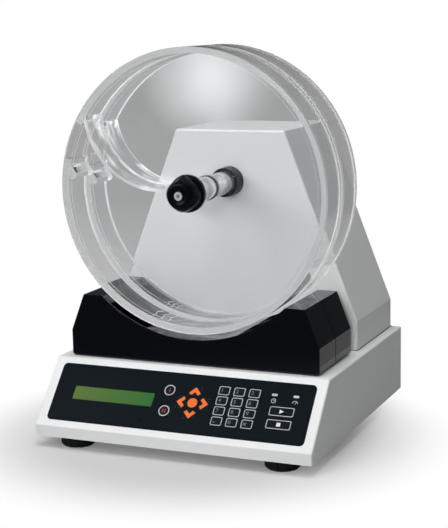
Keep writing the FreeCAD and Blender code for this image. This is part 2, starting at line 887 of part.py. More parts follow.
def drum_hub(drum_y):
    end = drum_y + drum_depth
    sleeve = tube_y(hub_radius, shaft_radius + running_gap, drum_y, end)
    keyway = box(-key_width / 2 - keyway_gap, key_width / 2 + keyway_gap, drum_y - 1, end + 1,
                 axis_z, axis_z + shaft_radius + key_height + keyway_gap)
    return sleeve.cut(keyway)


def drum_baffle(drum_y, turn):
    y0 = drum_y + disc_thickness + seat_gap + locating_rim_depth
    y1 = drum_y + disc_thickness + drum_inner_depth
    x, z = baffle_centre()
    outer = rod_y(baffle_radius + baffle_thickness, y0, y1, x, axis_z + z)
    inner = rod_y(baffle_radius, y0 - 1, y1 + 1, x, axis_z + z)
    band = outer.cut(inner).common(rod_y(bore_radius, y0, y1)).cut(rod_y(hub_radius, y0 - 1, y1 + 1))
    left = min(band.Solids, key=lambda solid: solid.CenterOfMass.x)
    return turned(left, turn)


def drum_spacer():
    y0 = front_drum_y + drum_depth
    return tube_y(spacer_diameter / 2, shaft_radius + key_height + keyway_gap + 0.5, y0,
                  rear_drum_y - seat_gap)


# Knob
def knob_grip():
    rear = front_drum_y - seat_gap
    front = front_drum_y - knob_length
    step = rear - knob_flange_length
    flange = knob_flange_diameter / 2
    grip = knob_grip_diameter / 2
    shoulder = knob_shoulder_diameter / 2
    nose = knob_nose_diameter / 2
    grip_end = step - knob_grip_length
    profile = [(0, rear), (flange, rear), (flange, step), (grip, step - knob_edge),
               (grip - knob_grip_taper, grip_end), (shoulder, grip_end - knob_shoulder_length),
               (nose + knob_edge, front + knob_edge), (nose, front), (0, front)]
    corners = [vector(radius, y, axis_z) for radius, y in profile]
    outline = Part.Face(Part.makePolygon(corners + corners[:1]))
    body = outline.revolve(vector(0, 0, axis_z), vector(0, 1, 0), 360)
    scallops = []
    for lobe in range(knob_lobes):
        x, z = polar(grip + scallop_radius - scallop_depth, 360.0 * lobe / knob_lobes)
        scallops.append(rod_y(scallop_radius, front - 1, step, x, axis_z + z))
    body = cut_all(body, scallops)
    nose_bore = rod_y(shaft_radius + running_gap, front_drum_y - shaft_nose - 1, rear + 1)
    screw_bore = rod_y(knob_screw_shank / 2 + running_gap, front - 1, rear)
    head_bore = rod_y(knob_screw_diameter / 2 + running_gap, front - 1, front + knob_screw_seat)
    return body.cut(nose_bore).cut(screw_bore).cut(head_bore)


def knob_screw():
    front = front_drum_y - knob_length
    head = rod_y(knob_screw_diameter / 2, front - knob_screw_projection, front + knob_screw_seat)
    shank = rod_y(knob_screw_shank / 2, front, front_drum_y - shaft_nose - 2)
    corners = []
    for angle in range(0, 361, 60):
        x, z = polar(knob_screw_diameter * 0.23, angle)
        corners.append(vector(x, front - 1, axis_z + z))
    socket = Part.Face(Part.makePolygon(corners)).extrude(vector(0, 2.6, 0))
    return head.fuse(shank).removeSplitter().cut(socket)


# Trays
def tray_outline(y, margin):
    """Closed face of the tray seen from the front, drawn a margin inside the real outline."""
    saddle = drum_radius + tray_saddle_gap + margin
    corners = inset([
        (-tray_width / 2, deck_z + tray_rest_gap),
        (tray_width / 2, deck_z + tray_rest_gap),
        (tray_width / 2, deck_z + tray_end_height),
        (tray_top_width / 2, deck_z + tray_top_height),
        (-tray_top_width / 2, deck_z + tray_top_height),
        (-tray_width / 2, deck_z + tray_end_height),
    ], margin)
    drop = axis_z - (deck_z + tray_top_height - margin)
    reach = math.sqrt(saddle ** 2 - drop ** 2)
    points = [vector(x, y, z) for x, z in corners]
    right = vector(reach, y, axis_z - drop)
    left = vector(-reach, y, axis_z - drop)
    low = vector(0, y, axis_z - saddle)
    edges = [Part.makeLine(a, b) for a, b in zip(points[:3], points[1:4])]
    edges += [Part.makeLine(points[3], right), Part.Arc(right, low, left).toShape()]
    edges += [Part.makeLine(left, points[4]), Part.makeLine(points[4], points[5])]
    edges.append(Part.makeLine(points[5], points[0]))
    return Part.Face(Part.Wire(edges))


def tray(y0):
    y1 = y0 + tray_depth
    outer = tray_outline(y0, 0).extrude(vector(0, tray_depth, 0))
    corners = [e for e in outer.Edges
               if abs(e.tangentAt(e.FirstParameter).y) > 0.9 and e.CenterOfMass.z < deck_z + 1]
    outer = outer.makeFillet(tray_corner_radius, corners)
    rims = [e for e in outer.Edges
            if min(abs(e.CenterOfMass.y - y0), abs(e.CenterOfMass.y - y1)) < 0.01
            and e.CenterOfMass.z > deck_z + 6]
    outer = outer.makeChamfer(tray_edge_chamfer, rims)
    hollow = tray_outline(y0 + tray_wall, tray_wall).extrude(vector(0, tray_depth - 2 * tray_wall, 0))
    windows = []
    for side in (-1, 1):
        low, high = sorted((side * catch_near, side * catch_far))
        windows.append(box(low, high, y0 + tray_wall, y1 - tray_wall, deck_z + tray_wall + 1, axis_z))
    return outer.cut(hollow).cut(windows[0]).cut(windows[1])


# Rear connections
def mains_inlet():
    x0, z0 = inlet_x, rear_line_z
    mouth = rear_y + inlet_flange_thickness
    floor = mouth - socket_depth
    flange = block_y(x0, z0, inlet_flange_width, inlet_flange_height, rear_y, mouth)
    corners = [e for e in flange.Edges if abs(e.tangentAt(e.FirstParameter).y) > 0.9]
    flange = flange.makeChamfer(inlet_corner_radius, corners)
    body = block_y(x0, z0, inlet_body_width, inlet_body_height, rear_y - inlet_body_depth, rear_y)
    half_w, half_h = socket_width / 2, socket_height / 2
    shoulder = half_h - socket_corner
    outline = [(-half_w, -half_h), (half_w, -half_h), (half_w, shoulder), (half_w - socket_corner, half_h),
               (-half_w + socket_corner, half_h), (-half_w, shoulder)]
    socket = prism_y([(x0 + dx, z0 + dz) for dx, dz in outline], floor, mouth + 1)
    inlet = flange.fuse(body).removeSplitter().cut(socket)
    pins = [block_y(x0 + dx, z0 + dz, pin_width, pin_height, floor, floor + pin_length)
            for dx, dz in [(-pin_pitch / 2, -pin_drop), (pin_pitch / 2, -pin_drop), (0, earth_pin_rise)]]
    holes = [rod_y(inlet_screw_hole / 2, rear_y - 1, mouth + 1, x0 + side * inlet_screw_pitch / 2, z0)
             for side in (-1, 1)]
    return cut_all(fuse_all([inlet] + pins), holes)


def switch_body():
    x0, z0 = switch_x, rear_line_z
    flange = block_y(x0, z0, switch_flange_width, switch_flange_height,
                     rear_y, rear_y + switch_flange_thickness)
    body = block_y(x0, z0, switch_body_width, switch_body_height, rear_y - switch_body_depth, rear_y)
    well = block_y(x0, z0, rocker_width + 2 * rocker_side_gap, rocker_length + 2 * rocker_end_gap,
                   rear_y - switch_well_depth, rear_y + switch_flange_thickness + 1)
    return flange.fuse(body).removeSplitter().cut(well)


def mains_rocker():
    x0, z0 = switch_x, rear_line_z
    half = rocker_length / 2
    heel = rocker_heel_width / 2
    pivot = rear_y - rocker_pivot_depth
    outline = [(-rocker_heel_depth, -heel), (-rocker_heel_depth, heel), (rocker_edge_rise, half),
               (rocker_end_rise, half), (rocker_middle_rise, 0), (rocker_end_rise, -half),
               (rocker_edge_rise, -half)]
    rocker = prism_x([(pivot + dy, z0 + dz) for dy, dz in outline],
                     x0 - rocker_width / 2, x0 + rocker_width / 2)
    rocker.rotate(vector(x0, pivot, z0), vector(1, 0, 0), -rocker_tilt)
    return rocker


def serial_port():
    x0, z0 = port_x, rear_line_z
    flange = block_y(x0, z0, port_flange_width, port_flange_height, rear_y, rear_y + port_flange_thickness)
    wide, narrow, half = port_shell_width / 2, port_shell_narrow / 2, port_shell_height / 2
    shell = prism_y([(x0 - wide, z0 + half), (x0 + wide, z0 + half), (x0 + narrow, z0 - half),
                     (x0 - narrow, z0 - half)], rear_y, rear_y + port_projection)
    body = block_y(x0, z0, port_body_width, port_body_height, rear_y - port_body_depth, rear_y)
    jacks = [rod_y(jack_diameter / 2, rear_y, rear_y + jack_height, x0 + side * jack_pitch / 2, z0)
             for side in (-1, 1)]
    return fuse_all([flange, shell, body] + jacks)


def build():
    os.makedirs("parts", exist_ok=True)
    write("base_housing", base_housing())
    write("bottom_plate", bottom_plate())
    write("feet", feet())
    write("foot_screws", foot_screws())
    write("case_screws", case_screws())
    write("keypad_overlay", keypad_overlay())
    write("lcd_module", lcd_module())
    write("indicator_lamps", indicator_lamps())
    write("control_board", control_board())
    write("power_supply", power_supply())
    write("tower_cover", tower_cover())
    write("bearing_frame", bearing_frame())
    write("spindle_bearings", spindle_bearings())
    write("worm_gearbox", worm_gearbox())
    write("drive_motor", drive_motor())
    write("revolution_sensor", revolution_sensor())
    write("mains_inlet", mains_inlet())
    write("switch_body", switch_body())
    write("mains_rocker", mains_rocker())
    write("serial_port", serial_port())
    write("spindle_shaft", spindle_shaft())
    write("drive_flange", drive_flange())
    write("drive_key", drive_key())
    write("encoder_disc", encoder_disc())
    for drum, drum_y, turn in [("front", front_drum_y, 0.0), ("rear", rear_drum_y, rear_drum_turn)]:
        write(drum + "_drum_wall", drum_wall_ring(drum_y, turn))
        write(drum + "_drum_back", drum_back(drum_y, turn))
        write(drum + "_drum_baffle", drum_baffle(drum_y, turn))
        write(drum + "_drum_hub", drum_hub(drum_y))
        write(drum + "_drum_cover", drum_cover(drum_y))
    write("drum_spacer", drum_spacer())
    write("knob_grip", knob_grip())
    write("knob_screw", knob_screw())
    write("front_tray", tray(front_y + tray_setback))
    write("rear_tray", tray(front_y + tray_setback + tray_depth + tray_split))
    low = -overlay_recess + key_float
    for name, kind, width, height, x, v in key_table():
        write(name, on_slope(key_outline(kind, width, height, x, v, 0, low, low + key_thickness)))


build()
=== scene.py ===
# %% [markdown]
# A friability tester tumbles tablets in clear drums to see how much they crumble. This lesson dresses the
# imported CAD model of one: the shapes come from the CAD, and the finishes, marks and small trim are made
# here. The model is loaded first, as a fixed frame in metres, so that every piece can be placed from a
# real one.

# %% Load the machine
import json
import math
import bpy
import bmesh
from mathutils import Matrix, Vector


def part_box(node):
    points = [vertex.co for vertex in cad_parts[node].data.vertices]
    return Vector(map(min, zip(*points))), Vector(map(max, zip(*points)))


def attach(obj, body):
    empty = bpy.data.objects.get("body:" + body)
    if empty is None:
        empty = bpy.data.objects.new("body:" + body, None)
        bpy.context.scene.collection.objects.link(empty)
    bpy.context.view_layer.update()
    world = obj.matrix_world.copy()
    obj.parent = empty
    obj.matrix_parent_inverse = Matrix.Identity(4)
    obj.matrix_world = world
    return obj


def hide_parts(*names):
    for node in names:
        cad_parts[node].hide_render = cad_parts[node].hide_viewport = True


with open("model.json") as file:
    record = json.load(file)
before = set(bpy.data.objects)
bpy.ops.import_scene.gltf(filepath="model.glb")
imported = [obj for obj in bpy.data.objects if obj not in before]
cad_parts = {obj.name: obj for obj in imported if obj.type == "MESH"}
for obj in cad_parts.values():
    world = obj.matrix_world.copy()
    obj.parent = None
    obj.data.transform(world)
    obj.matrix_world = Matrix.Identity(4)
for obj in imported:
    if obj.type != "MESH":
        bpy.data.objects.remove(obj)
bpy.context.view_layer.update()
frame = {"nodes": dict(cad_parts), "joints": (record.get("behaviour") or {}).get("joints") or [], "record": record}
nodes = frame["nodes"]
scene = bpy.context.scene
scene.view_settings.view_transform = "Standard"
MM = 0.001

# %% [markdown]
# The camera stands to the right of the front, a little above the deck. Its place was found by matching
# edges of the machine in the photograph, so it is set from one position, two angles, a slight roll and a
# long lens.

# %% Camera
camera_place = Vector((0.60306, -1.40806, 0.45308))
camera_turn = 0.40613
camera_drop = 0.17749
camera_roll = -0.01832
camera_lens = 95.85
sensor_width = 36


def camera_matrix():
    back = Vector((math.sin(camera_turn) * math.cos(camera_drop),
                   -math.cos(camera_turn) * math.cos(camera_drop), math.sin(camera_drop)))
    level = Vector((math.cos(camera_turn), math.sin(camera_turn), 0))
    upright = back.cross(level)
    right = level * math.cos(camera_roll) + upright * math.sin(camera_roll)
    up = upright * math.cos(camera_roll) - level * math.sin(camera_roll)
    turn = Matrix((right, up, back)).transposed().to_4x4()
    return Matrix.Translation(camera_place) @ turn


camera_data = bpy.data.cameras.new("camera")
camera_data.lens = camera_lens
camera_data.sensor_width = sensor_width
camera_data.clip_end = 50
camera = bpy.data.objects.new("camera", camera_data)
camera.matrix_world = camera_matrix()
scene.collection.objects.link(camera)
scene.camera = camera
print("camera lens", camera_lens, "mm, height", round(camera_place.z, 3))

# %% [markdown]
# Studio light: one large soft box in front on the left and one above. A soft spot from the front
# brightens the low part of the drums and of the tower behind them. The box above and the spot are hidden
# from reflections, because the sloping panel has to stay black.

# %% Lights
light_aim = (0, 0, 0.25)
key_power = 61
key_size = 2.6
key_place = (-1.9, -2.6, 1.9)
top_power = 44
top_size = 1.8
top_place = (0.1, -0.3, 2.6)
spot_power = 128
spot_softness = 0.30
spot_angle = math.radians(12.5)
spot_blend = 0.85
spot_place = (0.45, -2.3, 0.62)
spot_aim = (0.01, 0.02, 0.175)


def put_light(data, power, place, target):
    """Stand a light at a place and point it at a target."""
    data.energy = power
    light = bpy.data.objects.new(data.name, data)
    light.location = place
    light.rotation_euler = (Vector(place) - Vector(target)).to_track_quat("Z", "Y").to_euler()
    scene.collection.objects.link(light)
    return light


def area_light(name, power, size, place):
    data = bpy.data.lights.new(name, "AREA")
    data.shape = "DISK"
    data.size = size
    return put_light(data, power, place, light_aim)


def spot_light(name):
    data = bpy.data.lights.new(name, "SPOT")
    data.shadow_soft_size = spot_softness
    data.spot_size = spot_angle
    data.spot_blend = spot_blend
    return put_light(data, spot_power, spot_place, spot_aim)


key_light = area_light("key_light", key_power, key_size, key_place)
top_light = area_light("top_light", top_power, top_size, top_place)
drum_spot = spot_light("drum_spot")
for light in (top_light, drum_spot):
    light.visible_glossy = False
print("lights", [light.name for light in (key_light, top_light, drum_spot)])

# %% [markdown]
# A node tree is easier to read when each node is made, set and linked in one line. The first helper does
# that: it makes a node, sets the sockets that are given as plain values and links the ones that are given
# as sockets. The others stand for the nodes that are used most, and return the socket that is wanted from
# them.

# %% Node helpers
def node(tree, kind, inputs=None, **settings):
    made = tree.nodes.new(kind)
    for name, value in settings.items():
        setattr(made, name, value)
    for name, value in (inputs or {}).items():
        if isinstance(value, bpy.types.NodeSocket):
            tree.links.new(value, made.inputs[name])
        else:
            made.inputs[name].default_value = value
    return made


def maths(tree, operation, a, b=0.0, clamp=False):
    return node(tree, "ShaderNodeMath", {0: a, 1: b}, operation=operation, use_clamp=clamp).outputs[0]


def mix(tree, share, a, b, **settings):
    """Blend two colours, each of them a socket or three plain values."""
    ends = {"Factor": share}
    for name, value in [("A", a), ("B", b)]:
        ends[name] = value if isinstance(value, bpy.types.NodeSocket) else (*value, 1)
    return node(tree, "ShaderNodeMix", ends, data_type="RGBA", **settings).outputs[2]


def map_range(tree, value, low, high, **settings):
    """How far a value is from low to high, as 0 to 1."""
    ends = {"Value": value, "From Min": low, "From Max": high}
    return node(tree, "ShaderNodeMapRange", ends, **settings).outputs[0]


def component(tree, vector, axis):
    return node(tree, "ShaderNodeSeparateXYZ", {"Vector": vector}).outputs[axis]


def distance(tree, place, target):
    return node(tree, "ShaderNodeVectorMath", {0: place, 1: target}, operation="DISTANCE").outputs["Value"]


def grey(level):
    return (level, level, level)


# %% [markdown]
# The world is a studio with three faces: white where the camera looks at it, dark where the machine
# mirrors it, and a grey backdrop with faint clouds and one bright patch where it is seen through the
# clear drums. To every other ray it is a weak even fill. The Light Path node tells these rays apart.

# %% World
white = grey(1)
fill_level = 0.068
room_dark = grey(0.06)
backdrop_grey = grey(0.37)
backdrop_bright = grey(0.90)
backdrop_foot = -0.104
backdrop_rise = 0.04
patch_heading = (-0.4009, 0.9150, -0.0444)
patch_spread = 0.052
patch_raggedness = 0.035
cloud_scale = 22.0
cloud_depth = 0.44


def backdrop(tree, direction):
    """Grey with faint clouds and one soft bright patch, seen only through the drums."""
    noise = node(tree, "ShaderNodeTexNoise", {"Vector": direction, "Scale": cloud_scale, "Detail": 3.0})
    waver = maths(tree, "SUBTRACT", noise.outputs["Fac"], 0.5)
    clear_of_floor = map_range(tree, component(tree, direction, "Z"), backdrop_foot,
                               backdrop_foot + backdrop_rise)
    cloud = maths(tree, "MULTIPLY", waver, clear_of_floor)
    ragged = maths(tree, "MULTIPLY", waver, patch_raggedness)
    reach = maths(tree, "ADD", distance(tree, direction, patch_heading), ragged)
    patch = map_range(tree, reach, patch_spread, 0.0, interpolation_type="SMOOTHSTEP")
    share = maths(tree, "ADD", patch, maths(tree, "MULTIPLY", cloud, cloud_depth))
    return mix(tree, share, backdrop_grey, backdrop_bright, clamp_factor=False)


def build_world():
    world = bpy.data.worlds.new("studio")
    scene.world = world
    world.use_nodes = True
    tree = world.node_tree
    tree.nodes.clear()
    direction = node(tree, "ShaderNodeTexCoord").outputs["Generated"]
    path = node(tree, "ShaderNodeLightPath")
    shown = grey(fill_level)
    for ray, colour in [("Is Glossy Ray", room_dark), ("Is Transmission Ray", backdrop(tree, direction)),
                        ("Is Camera Ray", white)]:
        shown = mix(tree, path.outputs[ray], shown, colour)
    background = node(tree, "ShaderNodeBackground", {"Color": shown})
    node(tree, "ShaderNodeOutputWorld", {"Surface": background.outputs[0]})
    return world


print("world nodes", len(build_world().node_tree.nodes))

# %% [markdown]
# Four effects turn up on more than one material, so each is a shader node group with named inputs and
# outputs. Fine grain is the orange peel of powder coat and moulded plastic. Smudges are the faint cloudy
# marks of handling. The edge mask finds the sharp edges, where a finish wears first; the colour given
# there is partly wear and partly a painted highlight along the edge. Turned rings are the fine marks
# that a lathe leaves.

# %% Node groups
def new_group(name, inputs, output):
    group = bpy.data.node_groups.new(name, "ShaderNodeTree")
    for socket_name, value in inputs:
        socket = group.interface.new_socket(socket_name, in_out="INPUT", socket_type="NodeSocketFloat")
        socket.default_value = value
    group.interface.new_socket(output, in_out="OUTPUT", socket_type="NodeSocketFloat")
    return group, group.nodes.new("NodeGroupInput"), group.nodes.new("NodeGroupOutput")


def object_place(tree):
    return node(tree, "ShaderNodeTexCoord").outputs["Object"]


def build_grain():
    group, entry, leave = new_group("fine_grain", [("Scale", 900.0)], "Height")
    coarse = node(group, "ShaderNodeTexNoise", {"Vector": object_place(group), "Detail": 2.0,
                                               "Scale": entry.outputs["Scale"], "Roughness": 0.55})
    group.links.new(coarse.outputs["Fac"], leave.inputs["Height"])
    return group


def build_smudges():
    group, entry, leave = new_group("smudges", [("Scale", 14.0), ("Amount", 1.0)], "Mask")
    clouds = node(group, "ShaderNodeTexNoise", {"Vector": object_place(group), "Detail": 4.0,
                                               "Scale": entry.outputs["Scale"], "Roughness": 0.6,
                                               "Distortion": 0.4})
    centred = maths(group, "SUBTRACT", clouds.outputs["Fac"], 0.5)
    mask = maths(group, "MULTIPLY", centred, entry.outputs["Amount"])
    group.links.new(mask, leave.inputs["Mask"])
    return group


# The edge mask: edges get a colour that is partly wear and partly a painted highlight.
def build_edge_wear_and_highlight():
    group, entry, leave = new_group("edge_wear_and_highlight", [("Radius", 0.0006), ("Gain", 3.0)], "Mask")
    rounded = node(group, "ShaderNodeBevel", {"Radius": entry.outputs["Radius"]}, samples=4)
    flat = node(group, "ShaderNodeNewGeometry").outputs["Normal"]
    likeness = node(group, "ShaderNodeVectorMath", {0: rounded.outputs[0], 1: flat},
                    operation="DOT_PRODUCT").outputs["Value"]
    unlike = maths(group, "SUBTRACT", 1.0, likeness)
    mask = maths(group, "MULTIPLY", unlike, entry.outputs["Gain"], clamp=True)
    group.links.new(mask, leave.inputs["Mask"])
    return group


def build_turned_rings():
    group, entry, leave = new_group("turned_rings", [("Scale", 1500.0), ("Axis Height", 0.269)], "Height")
    place = node(group, "ShaderNodeSeparateXYZ", {"Vector": object_place(group)})
    height = maths(group, "SUBTRACT", place.outputs["Z"], entry.outputs["Axis Height"])
    squares = maths(group, "ADD", maths(group, "MULTIPLY", height, height),
                    maths(group, "MULTIPLY", place.outputs["X"], place.outputs["X"]))
    radius = maths(group, "SQRT", squares)
    along = node(group, "ShaderNodeCombineXYZ", {"X": place.outputs["Y"], "Y": radius})
    rings = node(group, "ShaderNodeTexNoise", {"Vector": along.outputs[0], "Scale": entry.outputs["Scale"],
                                              "Detail": 1.0})
    group.links.new(rings.outputs["Fac"], leave.inputs["Height"])
    return group


grain_group = build_grain()
smudge_group = build_smudges()
wear_highlight_group = build_edge_wear_and_highlight()
rings_group = build_turned_rings()


def place_group(tree, group, inputs):
    made = tree.nodes.new("ShaderNodeGroup")
    made.node_tree = group
    for name, value in inputs.items():
        made.inputs[name].default_value = value
    return made.outputs[0]


print("node groups", [group.name for group in (grain_group, smudge_group, wear_highlight_group, rings_group)])

# %% [markdown]
# Most finishes here differ only in a few values: colour, roughness, how coarse the grain is and how much
# the edges are rubbed. One function makes them all and keeps them by name. Machined metals get turned
# rings.

# %% Finish maker
finishes = {}
bump_strength = 0.5


def joint_named(name):
    return next(joint for joint in frame["joints"] if joint["name"] == name)


axis_height = joint_named("spindle_spin")["pos_m"][2]


def new_material(name):
    material = bpy.data.materials.new(name)
    material.use_nodes = True
    tree = material.node_tree
    tree.nodes.clear()
    shader = tree.nodes.new("ShaderNodeBsdfPrincipled")
    node(tree, "ShaderNodeOutputMaterial", {"Surface": shader.outputs["BSDF"]})
    return material, tree, shader


def tinted(tree, colour, mask, spread):
    """The colour, a little darker and lighter where the mask says."""
    darker = tuple(channel * (1 - spread) for channel in colour)
    lighter = tuple(min(1.0, channel * (1 + spread)) for channel in colour)
    return mix(tree, maths(tree, "ADD", mask, 0.5, clamp=True), darker, lighter)


def set_bump(tree, shader, height, depth):
    bump = node(tree, "ShaderNodeBump", {"Height": height, "Strength": bump_strength, "Distance": depth})
    tree.links.new(bump.outputs["Normal"], shader.inputs["Normal"])


def finish(name, colour, roughness, grain=None, rings=None, wear_and_highlight=None, smudge_scale=14.0, smudge_amount=1.0,
           spread=0.05, colour_spread=0.03, **sockets):
    """Grain and rings are a scale and a depth, and wear_and_highlight is a colour, a radius and a gain. That edge
    colour is partly wear and partly a painted highlight.
    """
    finishes[name], tree, shader = new_material(name)
    smudge = place_group(tree, smudge_group, {"Scale": smudge_scale, "Amount": smudge_amount})
    surface = tinted(tree, colour, smudge, colour_spread)
    # the colour along the edges is partly wear and partly a painted highlight
    if wear_and_highlight is not None:
        mask = place_group(tree, wear_highlight_group, {"Radius": wear_and_highlight[1], "Gain": wear_and_highlight[2]})
        surface = mix(tree, mask, surface, wear_and_highlight[0])
    tree.links.new(surface, shader.inputs["Base Color"])
    shine = maths(tree, "MULTIPLY_ADD", smudge, spread * 2, clamp=True)
    shine.node.inputs[2].default_value = roughness
    tree.links.new(shine, shader.inputs["Roughness"])
    if grain is not None:
        set_bump(tree, shader, place_group(tree, grain_group, {"Scale": grain[0]}), grain[1])
    if rings is not None:
        height = place_group(tree, rings_group, {"Scale": rings[0], "Axis Height": axis_height})
        set_bump(tree, shader, height, rings[1])
    for socket, value in sockets.items():
        shader.inputs[socket.replace("_", " ")].default_value = value


# %% [markdown]
# The housing is powder coated, the feet are rubber, the film is printed and the trays and the knob are
# moulded. The machined and plated parts are metals. The hub sleeves look mottled in the photograph, so
# their smudges vary the colour more than on the other metals.

# %% Finishes
# The lighter edge colours in these finishes are partly wear and partly a painted highlight; on the screws the
# edges are a little darker.
finish("powder_coat", (0.80, 0.81, 0.815), 0.42, grain=(1300, 0.00005), smudge_scale=6, colour_spread=0.015,
       wear_and_highlight=((0.86, 0.87, 0.875), 0.0008, 1.5), Specular_IOR_Level=0.42)
finish("plated_steel", (0.62, 0.63, 0.64), 0.34, grain=(2400, 0.00001), smudge_scale=40, colour_spread=0.08,
       Metallic=1.0)
finish("foot_rubber", (0.0030, 0.0040, 0.0044), 0.55, grain=(1800, 0.00006), smudge_scale=60, spread=0.10,
       wear_and_highlight=((0.020, 0.023, 0.025), 0.0009, 2.0), IOR=1.3)
finish("screw_steel", (0.92, 0.92, 0.92), 0.55, rings=(5200, 0.000012), smudge_scale=90,
       wear_and_highlight=((0.85, 0.85, 0.85), 0.0003, 2.5), Metallic=1.0)
finish("overlay_film", (0.0036, 0.0072, 0.0098), 0.30, grain=(2600, 0.000012), smudge_scale=9, spread=0.08,
       colour_spread=0.12, IOR=1.2)
finish("key_film", (0.0050, 0.0080, 0.0125), 0.30, grain=(2600, 0.000012), smudge_scale=35, spread=0.08,
       wear_and_highlight=((0.03, 0.036, 0.044), 0.0005, 1.4), IOR=1.25)
finish("key_orange", (0.78, 0.165, 0.026), 0.38, grain=(2600, 0.000012), smudge_scale=40,
       wear_and_highlight=((0.86, 0.34, 0.12), 0.0005, 1.2), Specular_IOR_Level=0.3)
finish("lamp_lens", (0.56, 0.57, 0.57), 0.20, grain=(900, 0.00001), smudge_scale=80, Specular_IOR_Level=0.6)
finish("circuit_board", (0.012, 0.085, 0.035), 0.35, grain=(1500, 0.00002), smudge_scale=30,
       colour_spread=0.15)
finish("machined_aluminium", (0.68, 0.69, 0.70), 0.32, rings=(900, 0.00002), smudge_scale=25, Metallic=1.0)
finish("bearing_steel", (0.60, 0.60, 0.60), 0.16, rings=(2600, 0.00001), smudge_scale=50, Metallic=1.0)
finish("black_plastic", (0.012, 0.012, 0.013), 0.42, grain=(1900, 0.00003), smudge_scale=45, spread=0.08,
       wear_and_highlight=((0.05, 0.05, 0.052), 0.0005, 2.0))
finish("hub_steel", (0.70, 0.715, 0.73), 0.24, rings=(1700, 0.00003), smudge_scale=42, smudge_amount=2.8,
       wear_and_highlight=((0.80, 0.80, 0.80), 0.0005, 2.0), spread=0.04, colour_spread=0.55, Metallic=1.0)
finish("black_anodised", (0.004, 0.006, 0.008), 0.30, rings=(1500, 0.000015), smudge_scale=50,
       wear_and_highlight=((0.03, 0.033, 0.037), 0.0005, 1.6), IOR=1.22)
finish("knob_plastic", (0.0016, 0.0026, 0.0040), 0.30, grain=(700, 0.00001), smudge_scale=60, spread=0.06,
       IOR=1.22)
finish("tray_plastic", (0.0016, 0.0028, 0.0046), 0.10, grain=(260, 0.00002), smudge_scale=8, spread=0.05,
       wear_and_highlight=((0.02, 0.023, 0.028), 0.0007, 1.6), IOR=1.45)
finish("seam_rubber", (0.05, 0.052, 0.055), 0.7, grain=(1500, 0.00003), smudge_scale=40)
# The seam cement is white and, through its emission, carries a painted glow.
finish("white_cement_painted_glow", (0.86, 0.87, 0.88), 0.5, grain=(900, 0.00002), smudge_scale=60,
       Emission_Color=(1, 1, 1, 1), Emission_Strength=0.40)
for ink, colour, roughness in [("silver_ink", (0.50, 0.53, 0.57), 0.40),
                               ("white_ink", (0.74, 0.77, 0.80), 0.42),
                               ("dim_ink", (0.15, 0.19, 0.26), 0.42),
                               ("red_ink", (0.42, 0.035, 0.04), 0.42),
                               ("orange_ink", (0.80, 0.165, 0.026), 0.40)]:
    finish(ink, colour, roughness, grain=(2600, 0.00001), smudge_scale=30)
print("finishes so far", len(finishes))

# %% [markdown]
# Clear acrylic is real glass to the renderer: it bends light and reflects it at each face. Its mirror is
# toned down, because it would show the lit floor in front as a veil over the tower. Sawn and cemented
# ends are frosted: rough and grey, and they carry a painted glow so that they read white. Light from a
# lamp or from another surface passes through by alpha, or the drums would cast the shadow of a solid.
# Faint smudges vary the roughness, and the baffles carry painted highlight streaks that glow.

# %% Clear acrylic
acrylic_index = 1.49
acrylic_tint = (0.991, 0.993, 0.996)
acrylic_polish = 0.02
acrylic_mirror = grey(0.28)
faint_smudges = {"Scale": 9.0, "Amount": 0.035}
frosted_roughness = 0.55
# The frosted ends carry a painted glow.
frosted_painted_glow = 0.17
frosted_tint = (0.42, 0.425, 0.43)
# Painted highlight streaks on the baffles: how bright they glow, how they are stretched and where they gather.
highlight_streak_glow = 0.26
highlight_streak_stretch = (30, 130, 30)
highlight_streak_range = (0.47, 0.64)
highlight_patch_scale = 30.0
highlight_patch_range = (0.40, 0.58)


def painted_highlight_streaks(tree):
    """Bright painted highlight streaks that run with the curve of the baffle, gathered in patches."""
    stretched = node(tree, "ShaderNodeMapping", {"Vector": object_place(tree), "Scale": highlight_streak_stretch})
    lines = node(tree, "ShaderNodeTexNoise", {"Vector": stretched.outputs[0], "Scale": 1.0, "Detail": 1.0})
    patches = node(tree, "ShaderNodeTexNoise", {"Vector": object_place(tree), "Scale": highlight_patch_scale,
                                                "Detail": 1.0})
    sharp = map_range(tree, lines.outputs["Fac"], *highlight_streak_range)
    gathered = map_range(tree, patches.outputs["Fac"], *highlight_patch_range)
    return maths(tree, "MULTIPLY", sharp, gathered, clamp=True)


